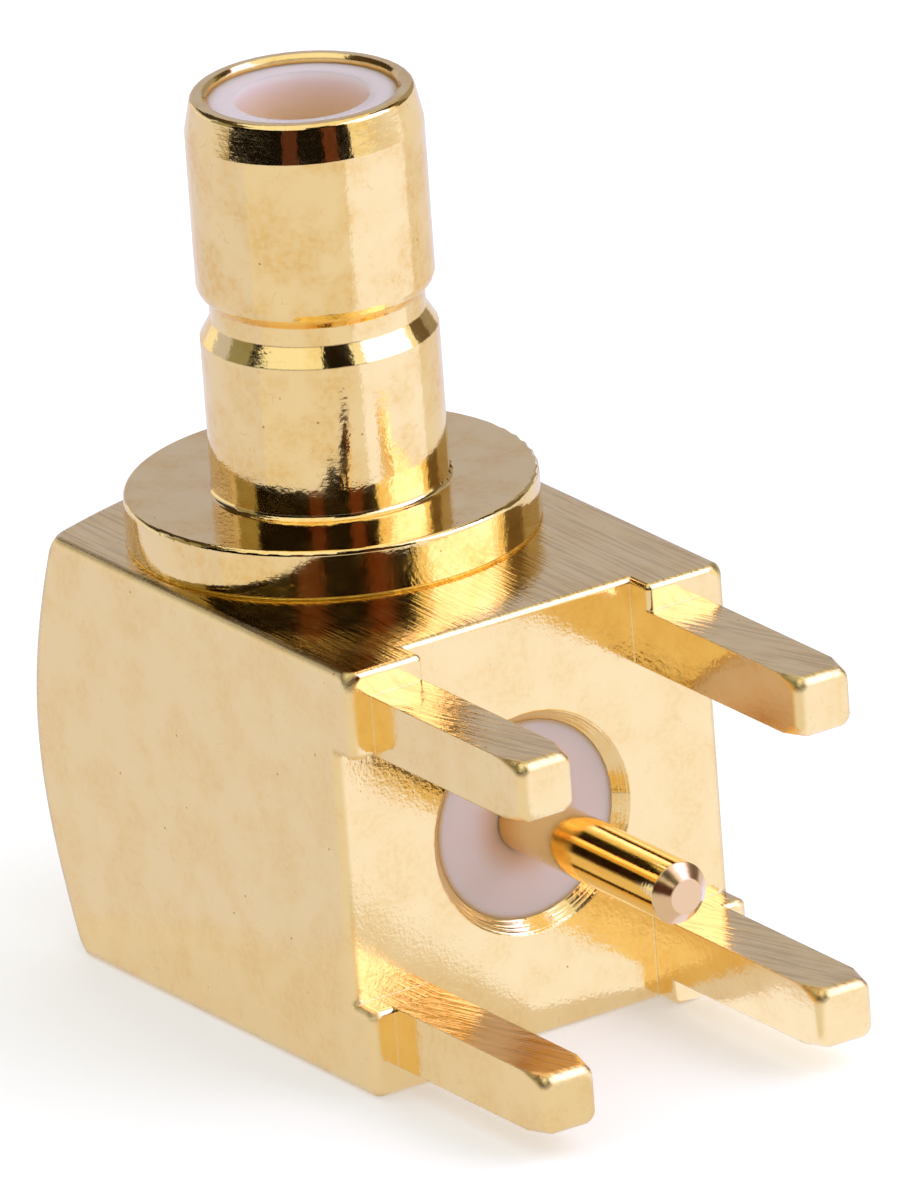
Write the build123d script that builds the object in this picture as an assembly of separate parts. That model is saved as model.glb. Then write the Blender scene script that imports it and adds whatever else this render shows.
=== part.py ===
from build123d import *
import math
import os

# Right-angle SMB jack for a printed-circuit board, standing on its flat base.
# The barrel's axis is +Z, the legs and the board pin point along +X, and Y is the plane of symmetry.
# The origin is where the barrel's axis meets the base.
# All sizes are in millimetres.

# Body: a square bar that lies along X
BODY_WIDTH = 6.90
BODY_HEIGHT = 6.90
SEAT_X = 5.54
BACK_X = -3.60
BACK_FLAT_RADIUS = 3.33
BACK_BEVEL_DEG = 30.0
BACK_CORNER_ROUND = 0.50
EDGE_ROUND = 0.10

# Legs and the corner pads that seat on the board
LEG_PITCH = 5.08
LEG_SIZE = 0.97
LEG_LENGTH = 4.03
LEG_TIP_ROUND = 0.14
LEG_TIP_CORNER = 0.29
LEG_TIP_TAPER = 0.50
RECESS_DEPTH = 0.49
PAD_CORNER_ROUND = 0.32

# Hole for the board pin's insulator
REAR_HOLE_DIAMETER = 3.18
REAR_HOLE_BEVEL = 0.21
REAR_HOLE_DEPTH = 3.60

# Outer contact: barrel, snap groove and flange
BARREL_DIAMETER = 3.68
BARREL_BORE = 2.96
BARREL_TOP_Z = 14.06
RIM_DIAMETER = 3.44
LEAD_IN_LENGTH = 0.585
RIM_OUTER_ROUND = 0.10
RIM_BORE_BEVEL = 0.06
LAND_LENGTH = 2.515
LAND_CORNER_BEVEL = 0.06
GROOVE_DIAMETER = 3.32
GROOVE_UPPER_FLANK = 0.21
GROOVE_FLOOR_LENGTH = 0.30
GROOVE_LOWER_FLANK = 0.30
FLANGE_DIAMETER = 6.40
FLANGE_THICKNESS = 0.79
FLANGE_EDGE_ROUND = 0.08
FLANGE_FOOT_BEVEL = 0.05
BARREL_ROOT_ROUND = 0.09
SPIGOT_DIAMETER = 4.20
SPIGOT_LENGTH = 1.50

# Insulators
FRONT_BORE_DIAMETER = 2.11
FRONT_BORE_DEPTH = 3.20
FRONT_INSULATOR_INSET = 0.13
REAR_INSULATOR_INSET = 0.20

# Conductors
CONTACT_DIAMETER = 0.90
CONTACT_TIP_DIAMETER = 0.50
CONTACT_TIP_INSET = 1.00
CONTACT_TIP_BEVEL = 0.15
CONTACT_TAIL = 0.65
PIN_DIAMETER = 0.98
PIN_TIP_X = 9.25
PIN_TIP_BEVEL = 0.21
PIN_GROOVE_DIAMETER = 0.60
PIN_GROOVE_LENGTH = 0.60
PIN_GROOVE_INSET = 0.10
PIN_END_DIAMETER = 0.50
PIN_END_OVERRUN = 0.15
AIR_BORE_DIAMETER = 2.20

# Places that follow from the sizes above
AXIS_Z = BODY_HEIGHT / 2
FLOOR_X = SEAT_X - RECESS_DEPTH
LEG_TIP_X = SEAT_X + LEG_LENGTH
LEG_INNER = LEG_PITCH / 2 - LEG_SIZE / 2
LEG_CORNER_TURNS = (22.5, 45.0, 67.5)
BEVEL_SLOPE = math.tan(math.radians(BACK_BEVEL_DEG))
CORNER_RADIUS = math.hypot(BODY_WIDTH / 2, BODY_HEIGHT / 2)
BEVEL_END_X = BACK_X + (CORNER_RADIUS - BACK_FLAT_RADIUS) * BEVEL_SLOPE
FLANGE_TOP_Z = BODY_HEIGHT + FLANGE_THICKNESS
SPIGOT_END_Z = BODY_HEIGHT - SPIGOT_LENGTH
BARREL_RADIUS = BARREL_DIAMETER / 2
LEAD_IN_Z = BARREL_TOP_Z - LEAD_IN_LENGTH
GROOVE_TOP_Z = LEAD_IN_Z - LAND_LENGTH
GROOVE_FLOOR_TOP_Z = GROOVE_TOP_Z - GROOVE_UPPER_FLANK
GROOVE_FLOOR_END_Z = GROOVE_FLOOR_TOP_Z - GROOVE_FLOOR_LENGTH
GROOVE_END_Z = GROOVE_FLOOR_END_Z - GROOVE_LOWER_FLANK
REAR_HOLE_END_X = FLOOR_X - REAR_HOLE_DEPTH
FRONT_FACE_Z = BARREL_TOP_Z - FRONT_INSULATOR_INSET
FRONT_BORE_END_Z = BARREL_TOP_Z - FRONT_BORE_DEPTH
AIR_BORE_RADIUS = AIR_BORE_DIAMETER / 2

# How far a cutting shape passes the faces that it opens
CUT_PAST = 1.0

# How near an edge's measured place has to be to the place that it is looked for at
NEAR = 0.01

# Along the board pin: insulator face, holding groove, and the reduced end in the contact's cross hole
REAR_FACE_X = FLOOR_X - REAR_INSULATOR_INSET
PIN_GROOVE_END_X = REAR_FACE_X - PIN_GROOVE_INSET
PIN_GROOVE_START_X = PIN_GROOVE_END_X - PIN_GROOVE_LENGTH
PIN_END_START_X = CONTACT_DIAMETER / 2
PIN_END_X = -CONTACT_DIAMETER / 2 - PIN_END_OVERRUN

# A frame whose local Z runs along +X, through the board pin's axis
PIN_AXIS = Plane(origin=(0, 0, AXIS_Z), x_dir=(0, 1, 0), z_dir=(1, 0, 0))


def turned(points, frame=None):
    """A turned piece: half profile of (radius, height) points, spun about the frame's Z."""
    profile = Plane.XZ * make_face(Polyline(*points, close=True))
    solid = revolve(profile, Axis.Z, 360)
    return frame * solid if frame else solid


def along_x(radius, start_x, end_x):
    """A round bar on the board pin's axis."""
    return turned([(0, start_x), (radius, start_x), (radius, end_x), (0, end_x)], PIN_AXIS)


def ring_edge(piece, radius, height):
    """The circular edge of this radius at this height."""
    return piece.edges().filter_by(GeomType.CIRCLE).filter_by(
        lambda e: abs(e.radius - radius) < NEAR and abs(e.center().Z - height) < NEAR
    )


def bar():
    """The square bar from the back end to the seating plane."""
    length = SEAT_X - BACK_X
    return Pos(BACK_X + length / 2, 0, AXIS_Z) * Box(length, BODY_WIDTH, BODY_HEIGHT)


def turned_back():
    """The envelope that the lathe leaves: flat back, bevel, and a rounded turn into the corners."""
    solid = turned(
        [
            (0, BACK_X),
            (BACK_FLAT_RADIUS, BACK_X),
            (CORNER_RADIUS, BEVEL_END_X),
            (CORNER_RADIUS, SEAT_X + CUT_PAST),
            (0, SEAT_X + CUT_PAST),
        ]
    )
    return PIN_AXIS * fillet(ring_edge(solid, CORNER_RADIUS, BEVEL_END_X), BACK_CORNER_ROUND)


def back_edges(body):
    """The curved edges where the turned back end runs out into the flats of the bar."""

    def runs_out(edge):
        box = edge.bounding_box()
        return box.min.X > BACK_X + NEAR / 2 and box.max.X < BEVEL_END_X + BACK_CORNER_ROUND

    return body.edges().filter_by(runs_out)


def cross_recess():
    """The milled cross that leaves the four corner pads standing."""
    depth = RECESS_DEPTH + CUT_PAST
    middle = FLOOR_X + depth / 2
    across = Pos(middle, 0, AXIS_Z) * Box(depth, BODY_WIDTH + CUT_PAST, 2 * LEG_INNER)
    upright = Pos(middle, 0, AXIS_Z) * Box(depth, 2 * LEG_INNER, BODY_HEIGHT + CUT_PAST)
    return across + upright


def tip_spire(turn):
    """A turned square spire round a leg's axis, which blunts the leg's corners near the tip."""
    spread = math.cos(math.radians(turn)) + math.sin(math.radians(turn))
    sharp = LEG_SIZE / 2 * spread
    blunt = (LEG_SIZE / 2 - LEG_TIP_CORNER) * spread + LEG_TIP_CORNER

    def section(x):
        side = 2 * (blunt + (sharp - blunt) * (LEG_TIP_X - x) / LEG_TIP_TAPER)
        plane = Plane(origin=(x, 0, 0), x_dir=(0, 1, 0), z_dir=(1, 0, 0))
        return (plane * Rectangle(side, side, rotation=turn)).face()

    return loft([section(FLOOR_X - CUT_PAST), section(LEG_TIP_X + CUT_PAST)], ruled=True)


def leg():
    """One square leg on the X axis, with blunted corners near its tip and a rounded rim."""
    length = LEG_TIP_X - FLOOR_X
    solid = Pos(FLOOR_X + length / 2, 0, 0) * Box(length, LEG_SIZE, LEG_SIZE)
    for turn in LEG_CORNER_TURNS:
        solid &= tip_spire(turn)
    return fillet(solid.faces().sort_by(Axis.X)[-1].edges(), LEG_TIP_ROUND)


def front_envelope():
    """A round bar on the pin's axis, whose rounded rim takes the points off the pads' outer corners."""
    end_x = SEAT_X + NEAR
    solid = turned(
        [(0, BACK_X - CUT_PAST), (CORNER_RADIUS, BACK_X - CUT_PAST), (CORNER_RADIUS, end_x), (0, end_x)]
    )
    return PIN_AXIS * fillet(ring_edge(solid, CORNER_RADIUS, end_x), PAD_CORNER_ROUND)


def rear_hole():
    """The hole for the rear insulator, its bevelled mouth, and the air bore behind its step."""
    radius = REAR_HOLE_DIAMETER / 2
    mouth = radius + REAR_HOLE_BEVEL
    return turned(
        [
            (0, -AIR_BORE_RADIUS),
            (AIR_BORE_RADIUS, -AIR_BORE_RADIUS),
            (AIR_BORE_RADIUS, REAR_HOLE_END_X),
            (radius, REAR_HOLE_END_X),
            (radius, FLOOR_X - REAR_HOLE_BEVEL),
            (mouth, FLOOR_X),
            (mouth, FLOOR_X + CUT_PAST),
            (0, FLOOR_X + CUT_PAST),
        ],
        PIN_AXIS,
    )


def barrel_hole():
    """The hole for the outer contact's spigot, and the air bore below its step."""
    radius = SPIGOT_DIAMETER / 2
    return turned(
        [
            (0, AXIS_Z - AIR_BORE_RADIUS),
            (AIR_BORE_RADIUS, AXIS_Z - AIR_BORE_RADIUS),
            (AIR_BORE_RADIUS, SPIGOT_END_Z),
            (radius, SPIGOT_END_Z),
            (radius, BODY_HEIGHT + CUT_PAST),
            (0, BODY_HEIGHT + CUT_PAST),
        ]
    )


def front_edges(body):
    """The outward edges of the pads and of the recess floor, all of which are slightly rounded."""

    def outward(edge):
        box = edge.bounding_box()
        sides = [abs(box.min.Y), abs(box.max.Y)]
        heights = [abs(box.min.Z - AXIS_Z), abs(box.max.Z - AXIS_Z)]
        touches_flat = max(sides) > BODY_WIDTH / 2 - NEAR or max(heights) > AXIS_Z - NEAR
        lies_in_flat = min(sides) > BODY_WIDTH / 2 - NEAR or min(heights) > AXIS_Z - NEAR
        on_seat = box.min.X > SEAT_X - NEAR
        on_floor = abs(box.min.X - FLOOR_X) < NEAR and abs(box.max.X - FLOOR_X) < NEAR
        on_pad_wall = abs(box.size.X - RECESS_DEPTH) < NEAR
        return on_seat or (on_floor and lies_in_flat) or (on_pad_wall and touches_flat)

    return body.edges().filter_by(outward)


def body_block():
    """The whole machined body: bar, turned back end, corner pads, legs, and its two stepped holes."""
    body = bar() & turned_back()
    body = fillet(back_edges(body) + body.edges().filter_by(Axis.X), EDGE_ROUND)
    body -= cross_recess()
    body = fillet(front_edges(body), EDGE_ROUND) & front_envelope()
    one_leg = leg()
    for side_y in (-1, 1):
        for side_z in (-1, 1):
            body += Pos(0, side_y * LEG_PITCH / 2, AXIS_Z + side_z * LEG_PITCH / 2) * one_leg
    body -= rear_hole()
    body -= barrel_hole()
    return body


def outer_contact():
    """Barrel, flange and spigot in one turned piece, bored through."""
    bore = BARREL_BORE / 2
    groove = GROOVE_DIAMETER / 2
    flange = FLANGE_DIAMETER / 2
    spigot = SPIGOT_DIAMETER / 2
    piece = turned(
        [
            (bore, SPIGOT_END_Z),
            (spigot, SPIGOT_END_Z),
            (spigot, BODY_HEIGHT),
            (flange, BODY_HEIGHT),
            (flange, FLANGE_TOP_Z),
            (BARREL_RADIUS, FLANGE_TOP_Z),
            (BARREL_RADIUS, GROOVE_END_Z),
            (groove, GROOVE_FLOOR_END_Z),
            (groove, GROOVE_FLOOR_TOP_Z),
            (BARREL_RADIUS, GROOVE_TOP_Z),
            (BARREL_RADIUS, LEAD_IN_Z),
            (RIM_DIAMETER / 2, BARREL_TOP_Z),
            (bore, BARREL_TOP_Z),
        ]
    )
    piece = fillet(ring_edge(piece, flange, FLANGE_TOP_Z), FLANGE_EDGE_ROUND)
    piece = chamfer(ring_edge(piece, flange, BODY_HEIGHT), FLANGE_FOOT_BEVEL)
    piece = fillet(ring_edge(piece, RIM_DIAMETER / 2, BARREL_TOP_Z), RIM_OUTER_ROUND)
    piece = chamfer(ring_edge(piece, bore, BARREL_TOP_Z), RIM_BORE_BEVEL)
    piece = fillet(ring_edge(piece, BARREL_RADIUS, FLANGE_TOP_Z), BARREL_ROOT_ROUND)
    return chamfer(ring_edge(piece, BARREL_RADIUS, GROOVE_TOP_Z), LAND_CORNER_BEVEL)


def front_insulator():
    """The tube inside the barrel: open to the plug in front, closed round the contact behind."""
    bore = FRONT_BORE_DIAMETER / 2
    contact = CONTACT_DIAMETER / 2
    outer = BARREL_BORE / 2
    return turned(
        [
            (contact, SPIGOT_END_Z),
            (outer, SPIGOT_END_Z),
            (outer, FRONT_FACE_Z),
            (bore, FRONT_FACE_Z),
            (bore, FRONT_BORE_END_Z),
            (contact, FRONT_BORE_END_Z),
        ]
    )


def rear_insulator():
    """The bush round the board pin, a little below the recess floor."""
    pin = PIN_DIAMETER / 2
    outer = REAR_HOLE_DIAMETER / 2
    return turned(
        [(pin, REAR_HOLE_END_X), (outer, REAR_HOLE_END_X), (outer, REAR_FACE_X), (pin, REAR_FACE_X)],
        PIN_AXIS,
    )


def centre_contact():
    """The male contact: a thin pin that the plug takes, a thicker shank, and a cross hole."""
    shank = CONTACT_DIAMETER / 2
    tip = CONTACT_TIP_DIAMETER / 2
    tip_z = BARREL_TOP_Z - CONTACT_TIP_INSET
    piece = turned(
        [
            (0, AXIS_Z - CONTACT_TAIL),
            (shank, AXIS_Z - CONTACT_TAIL),
            (shank, FRONT_BORE_END_Z),
            (tip, FRONT_BORE_END_Z),
            (tip, tip_z - CONTACT_TIP_BEVEL),
            (tip - CONTACT_TIP_BEVEL, tip_z),
            (0, tip_z),
        ]
    )
    return piece - along_x(PIN_END_DIAMETER / 2, -CUT_PAST, CUT_PAST)


def pcb_pin():
    """The board pin: bevelled tip, a groove that the insulator grips, and an end that meets the contact."""
    radius = PIN_DIAMETER / 2
    groove = PIN_GROOVE_DIAMETER / 2
    end = PIN_END_DIAMETER / 2
    return turned(
        [
            (0, PIN_END_X),
            (end, PIN_END_X),
            (end, PIN_END_START_X),
            (radius, PIN_END_START_X),
            (radius, PIN_GROOVE_START_X),
            (groove, PIN_GROOVE_START_X),
            (groove, PIN_GROOVE_END_X),
            (radius, PIN_GROOVE_END_X),
            (radius, PIN_TIP_X - PIN_TIP_BEVEL),
            (radius - PIN_TIP_BEVEL, PIN_TIP_X),
            (0, PIN_TIP_X),
        ],
        PIN_AXIS,
    )


PIECES = {
    "body_block": body_block,
    "outer_contact": outer_contact,
    "front_insulator": front_insulator,
    "rear_insulator": rear_insulator,
    "centre_contact": centre_contact,
    "pcb_pin": pcb_pin,
}

os.makedirs("parts", exist_ok=True)
for name, make in PIECES.items():
    piece = make()
    piece.label = name
    export_step(piece, f"parts/{name}.step")
    size = piece.bounding_box().size
    print(name, "solids", len(piece.solids()), "size", [round(v, 3) for v in (size.X, size.Y, size.Z)])
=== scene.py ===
# %% [markdown]
# This lesson dresses a right-angle SMB jack: a small coaxial socket that is soldered to a printed-circuit board.
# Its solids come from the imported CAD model, which fixes every size, so the work here is camera, light and finish.
# They could be modelled again in Blender, but loading them keeps both models alike to the last digit.
# All places are in metres in the CAD's own frame: the barrel's axis is Z, and the solder legs point along X.

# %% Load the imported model
import math

import bmesh
import bpy
from mathutils import Matrix, Vector, noise


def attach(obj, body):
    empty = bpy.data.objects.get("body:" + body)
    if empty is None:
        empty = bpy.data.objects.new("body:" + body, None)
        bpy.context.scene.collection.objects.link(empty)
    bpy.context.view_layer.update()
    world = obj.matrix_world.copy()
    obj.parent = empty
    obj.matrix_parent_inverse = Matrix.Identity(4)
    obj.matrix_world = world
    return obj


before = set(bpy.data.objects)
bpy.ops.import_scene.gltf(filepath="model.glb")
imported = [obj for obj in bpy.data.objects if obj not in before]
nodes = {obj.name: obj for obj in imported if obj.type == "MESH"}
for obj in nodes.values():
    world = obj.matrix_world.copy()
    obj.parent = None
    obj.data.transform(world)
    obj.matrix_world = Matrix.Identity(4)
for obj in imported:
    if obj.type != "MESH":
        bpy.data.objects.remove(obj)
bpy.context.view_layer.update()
MM = 0.001
print("nodes:", ", ".join(sorted(nodes)))

# %% [markdown]
# The jack is 14 mm tall and was photographed with a long lens from half a metre away, a little above it.
# A camera can be aimed by hand in the viewport, or by a constraint that tracks an empty. Here it is placed by
# azimuth, elevation and roll round a point inside the jack, because those numbers are easy to read and to correct.

# %% Camera
AIM_MM = (3.192, 0.001, 6.573)
CAMERA_AZIMUTH = -32.171
CAMERA_ELEVATION = 20.828
CAMERA_ROLL = -4.235
CAMERA_DISTANCE_MM = 499.225
LENS_MM = 981.85
SENSOR_MM = 36.0
NEAREST_SEEN = 0.01
FARTHEST_SEEN = 10.0
UP = Vector((0, 0, 1))


def direction(azimuth, elevation):
    """The unit vector that points to an azimuth, counted from +X, and an elevation, in degrees."""
    a, e = math.radians(azimuth), math.radians(elevation)
    return Vector((math.cos(a) * math.cos(e), math.sin(a) * math.cos(e), math.sin(e)))


def place_camera():
    """Makes the scene's camera, turned about its own line of sight by the roll."""
    back = direction(CAMERA_AZIMUTH, CAMERA_ELEVATION)
    level = UP.cross(back).normalized()
    right = Matrix.Rotation(math.radians(CAMERA_ROLL), 3, back) @ level
    up = back.cross(right)
    camera = bpy.data.objects.new("camera", bpy.data.cameras.new("camera"))
    bpy.context.scene.collection.objects.link(camera)
    camera.matrix_world = Matrix((right, up, back)).transposed().to_4x4()
    camera.location = (Vector(AIM_MM) + CAMERA_DISTANCE_MM * back) * MM
    camera.data.lens = LENS_MM
    camera.data.sensor_width = SENSOR_MM
    camera.data.clip_start = NEAREST_SEEN
    camera.data.clip_end = FARTHEST_SEEN
    bpy.context.scene.camera = camera
    return camera


camera = place_camera()
print("camera at mm:", [round(v / MM, 2) for v in camera.location])

# %% [markdown]
# Colours are written as the sRGB hex values that a paint chart or a picture gives. Blender's nodes work in linear
# light, so one function turns a hex value into linear numbers. Another one adds a node with its inputs and settings.
# Node trees could be built by hand in the shader editor, but written out they can be read, compared and reused.

# %% Colour and node helpers


def linear(hex_colour):
    """An sRGB hex colour as linear red, green, blue and alpha."""
    channels = [int(hex_colour[i : i + 2], 16) / 255 for i in (1, 3, 5)]
    return [c / 12.92 if c <= 0.04045 else ((c + 0.055) / 1.055) ** 2.4 for c in channels] + [1.0]


def add(tree, kind, inputs=None, **settings):
    """Adds a node. Each input is a socket to link from or a plain value."""
    node = tree.nodes.new(kind)
    for name, value in settings.items():
        setattr(node, name, value)
    for key, value in (inputs or {}).items():
        if isinstance(value, bpy.types.NodeSocket):
            tree.links.new(value, node.inputs[key])
        else:
            node.inputs[key].default_value = value
    return node


def empty_material(name):
    """A material with no nodes yet, and its tree."""
    material = bpy.data.materials.new(name)
    material.use_nodes = True
    material.node_tree.nodes.clear()
    return material, material.node_tree


print("middle grey #808080 is linear", round(linear("#808080")[0], 3))

# %% [markdown]
# Polished metal has no look of its own: it shows the room. A small-parts photographer stands the part on white paper
# in white light, and the dark room round the camera gives the metal its dark, crisp accents.
# A picture of a studio, wrapped round the scene, would give such a room too, but nobody could then change one wall.
# So the world is plain white, and each thing that the metal shows is made on its own in the cells below.

# %% World
WHITE = "#FFFFFF"
SOFT_LIGHT = 0.84


def white_world():
    """White for the camera and for mirrors, and a plain soft light for everything else."""
    world = bpy.data.worlds.new("white_room")
    bpy.context.scene.world = world
    world.use_nodes = True
    tree = world.node_tree
    tree.nodes.clear()
    path = add(tree, "ShaderNodeLightPath")
    seen_or_mirrored = {0: path.outputs["Is Camera Ray"], 1: path.outputs["Is Glossy Ray"]}
    seen = add(tree, "ShaderNodeMath", seen_or_mirrored, operation="ADD")
    seen = add(tree, "ShaderNodeMath", {0: seen.outputs[0], 1: path.outputs["Is Transmission Ray"]}, operation="ADD")
    light = add(tree, "ShaderNodeMapRange", {"Value": seen.outputs[0], "To Min": SOFT_LIGHT, "To Max": 1.0})
    sky = add(tree, "ShaderNodeBackground", {"Color": linear(WHITE), "Strength": light.outputs[0]})
    add(tree, "ShaderNodeOutputWorld", {"Surface": sky.outputs[0]})


white_world()
print("soft light of the world:", SOFT_LIGHT)

# %% [markdown]
# The floor is matt white paper. It keeps the part's soft shadow, and for the camera it gets a little light of its
# own, so that it fades to white away from the part. More lamps would whiten it as well, but they would burn out the
# part. In mirrors three quarters of the paper is such light, because the real paper is lit from below too and shows
# the gold only a weak shadow.

# %% Floor
PAPER_WHITE = "#F5F5F4"
PAPER_LIFT = 0.27
PAPER_SHARE_IN_MIRRORS = 0.75
PAPER_IN_MIRRORS = 1.0
PAPER_IN_MIRRORS_TINT = "#E8E5FF"
FLOOR_HALF_WIDTH = 1.6
FLOOR_DROP_MM = 0.02


def paper_material():
    """Matt white paper with a little light of its own, for the camera and for mirrors."""
    material, tree = empty_material("matt_white_paper")
    path = add(tree, "ShaderNodeLightPath")
    paper = add(tree, "ShaderNodeBsdfDiffuse", {"Color": linear(PAPER_WHITE)})
    mirrors = {0: path.outputs["Is Glossy Ray"], 1: path.outputs["Is Transmission Ray"]}
    mirrored = add(tree, "ShaderNodeMath", mirrors, operation="ADD")
    part = {0: mirrored.outputs[0], 1: PAPER_SHARE_IN_MIRRORS}
    lit = add(tree, "ShaderNodeMath", part, operation="MULTIPLY", use_clamp=True)
    white = add(tree, "ShaderNodeEmission", {"Color": linear(PAPER_IN_MIRRORS_TINT), "Strength": PAPER_IN_MIRRORS})
    seen = add(tree, "ShaderNodeMixShader", {0: lit.outputs[0], 1: paper.outputs[0], 2: white.outputs[0]})
    lift = add(tree, "ShaderNodeMath", {0: path.outputs["Is Camera Ray"], 1: PAPER_LIFT}, operation="MULTIPLY")
    glow = add(tree, "ShaderNodeEmission", {"Color": linear(WHITE), "Strength": lift.outputs[0]})
    both = add(tree, "ShaderNodeAddShader", {0: seen.outputs[0], 1: glow.outputs[0]})
    add(tree, "ShaderNodeOutputMaterial", {"Surface": both.outputs[0]})
    return material


def mesh_object(name, points, faces, material):
    """A mesh object from points in metres."""
    mesh = bpy.data.meshes.new(name)
    mesh.from_pydata(points, [], faces)
    mesh.materials.append(material)
    made = bpy.data.objects.new(name, mesh)
    bpy.context.scene.collection.objects.link(made)
    return made


half = FLOOR_HALF_WIDTH
floor_z = -FLOOR_DROP_MM * MM
floor_corners = [(-half, -half, floor_z), (half, -half, floor_z), (half, half, floor_z), (-half, half, floor_z)]
floor = mesh_object("floor", floor_corners, [(0, 1, 2, 3)], paper_material())
print("floor at mm:", floor_z / MM)

# %% [markdown]
# One soft lamp stands to the right of the camera and brightens the floor on the legs' side. Its light is a little
# cool, as daylight is, which keeps gold pale. A sun or a point lamp would do the same work with hard shadows.
# The lamp itself is hidden from mirrors. They see a glowing square in its place, the lamp's face, which is made
# further down, because a face of its own can be brighter and cooler than the light that falls on the floor.

# %% Soft lamp
LAMP_RIGHT_OF_CAMERA = 76
LAMP_ELEVATION = 36
LAMP_DISTANCE = 0.20
LAMP_SIZE = 0.16
LAMP_BRIGHTNESS = 1.9
LAMP_COLOUR = "#DEDDFF"

lamp_data = bpy.data.lights.new("softbox", "AREA")
lamp_data.shape = "SQUARE"
lamp_data.size = LAMP_SIZE
lamp_data.color = linear(LAMP_COLOUR)[:3]
lamp_data.energy = LAMP_BRIGHTNESS * math.pi * LAMP_SIZE**2
lamp = bpy.data.objects.new("softbox", lamp_data)
bpy.context.scene.collection.objects.link(lamp)
to_lamp = direction(CAMERA_AZIMUTH + LAMP_RIGHT_OF_CAMERA, LAMP_ELEVATION)
lamp_turn = to_lamp.to_track_quat("Z", "Y")
lamp.location = LAMP_DISTANCE * to_lamp
lamp.rotation_euler = lamp_turn.to_euler()
lamp.visible_camera = False
lamp.visible_glossy = False
print("lamp power in W:", round(lamp_data.energy, 3))

# %% [markdown]
# Cards stand round the set, out of the picture, and only mirrors see them. Lamps with blinds could draw the same
# streaks on real metal, but a card that glows in its own colour shows just that colour, wherever the lamps are.
# Each standing card is a strip of a cylinder, so that it is the same distance from the part all along.

# %% Card helpers
CARD_STEP_DEG = 3


def card_material(name, colour, strength=1.0):
    """A card that shines with its own plain colour, so its look doesn't hang on the lamps."""
    material, tree = empty_material(name)
    glow = add(tree, "ShaderNodeEmission", {"Color": linear(colour), "Strength": strength})
    add(tree, "ShaderNodeOutputMaterial", {"Surface": glow.outputs[0]})
    material.cycles.emission_sampling = "NONE"
    return material


def only_in_mirrors(thing):
    """Hides a card from everything but reflections."""
    thing.visible_camera = False
    thing.visible_diffuse = False
    thing.visible_transmission = False
    thing.visible_shadow = False


def card(name, left, right, rims, material):
    """A bent strip between two rims, each a radius and a height, that only mirrors see."""
    count = math.ceil((right - left) / CARD_STEP_DEG)
    points, faces = [], []
    for i in range(count + 1):
        level = direction(CAMERA_AZIMUTH + left + (right - left) * i / count, 0)
        points += [(level.x * radius, level.y * radius, height) for radius, height in rims]
    for i in range(count):
        faces.append((2 * i, 2 * i + 2, 2 * i + 3, 2 * i + 1))
    only_in_mirrors(mesh_object(name, points, faces, material))


print("a card has a corner every", CARD_STEP_DEG, "degrees")

# %% [markdown]
# A dark card behind the camera, with two brown posts in it, gives the black and brown streaks of the barrel's foot.
# Grey ones behind the part keep its flat tops from going white. Each is given by the angles that it covers from the
# part: degrees to the right of the camera, then degrees above the floor. Cards that overlap stand a little nearer
# one after the other, so that the later one shows. They could be planes placed by hand, but angles seen from the
# part are what a reflection is made of, so a streak in the photograph can be turned into a card directly.

# %% Standing cards
CARD_DISTANCE = 0.26
CARD_GAP = 0.002
MIRROR_HEIGHT_MM = 8.0
CARDS = {
    "card_dark_room": (-78, 44, 0, 33, "#15110E"),
    "card_brown_post_left": (-22, -8, 0, 31, "#553026"),
    "card_brown_post_right": (17, 30, 0, 31, "#62382A"),
    "card_dark_ceiling": (2, 34, 33, 58, "#1E1814"),
    "card_left_corner": (-104, -78, 0, 10, "#A69C92"),
    "card_left_wall": (-104, -78, 10, 34, "#939180"),
    "card_far_left_wall": (-150, -104, 10, 34, "#C8CAEE"),
    "card_left_ceiling_dark": (-112, -72, 34, 56, "#4E4032"),
    "card_left_ceiling_brown": (-168, -112, 22, 56, "#443B31"),
    "card_back_wall": (128, 210, 0, 34, "#BCBCD9"),
    "card_right_wall_dark": (108, 128, 0, 34, "#6E6255"),
    "card_right_wall_grey": (128, 160, 0, 34, "#A09A98"),
    "card_right_ceiling_dark": (106, 139, 34, 56, "#4A3C30"),
    "card_back_ceiling": (139, 195, 34, 50, "#BDB6B4"),
}


def height_above(elevation, distance):
    """The height of a rim that shows at this elevation from halfway up the part. At zero it stands on the floor."""
    return distance * math.tan(math.radians(elevation)) + (MIRROR_HEIGHT_MM * MM if elevation > 0 else 0)


for number, (name, (left, right, low, high, colour)) in enumerate(CARDS.items()):
    distance = CARD_DISTANCE - CARD_GAP * number
    rims = [(distance, height_above(elevation, distance)) for elevation in (low, high)]
    card(name, left, right, rims, card_material(name, colour))
print("standing cards:", len(CARDS))

# %% [markdown]
# Two more cards lie on the floor, as a photographer lays white card to lift the shaded side: a bright one on the
# legs' side, which the barrel shows as its brightest stripe, and a plain one on the left. The lamp's face is the
# last thing that only mirrors see. It is brighter than white and cooler still, so that gold that shows it, even
# twice over, stays pale.

# %% Cards on the floor and the lamp's face
FLOOR_CARD_REACH_MM = (6.0, 150.0)
FLOOR_CARDS = {
    "floor_card_right": (36, 106, "#CFD4FF", 1.6),
    "floor_card_left": (-150, -62, "#DFDFFF", 1.04),
}
LAMP_FACE_COLOUR = "#BCB8FF"
LAMP_FACE_STRENGTH = 4.2

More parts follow.
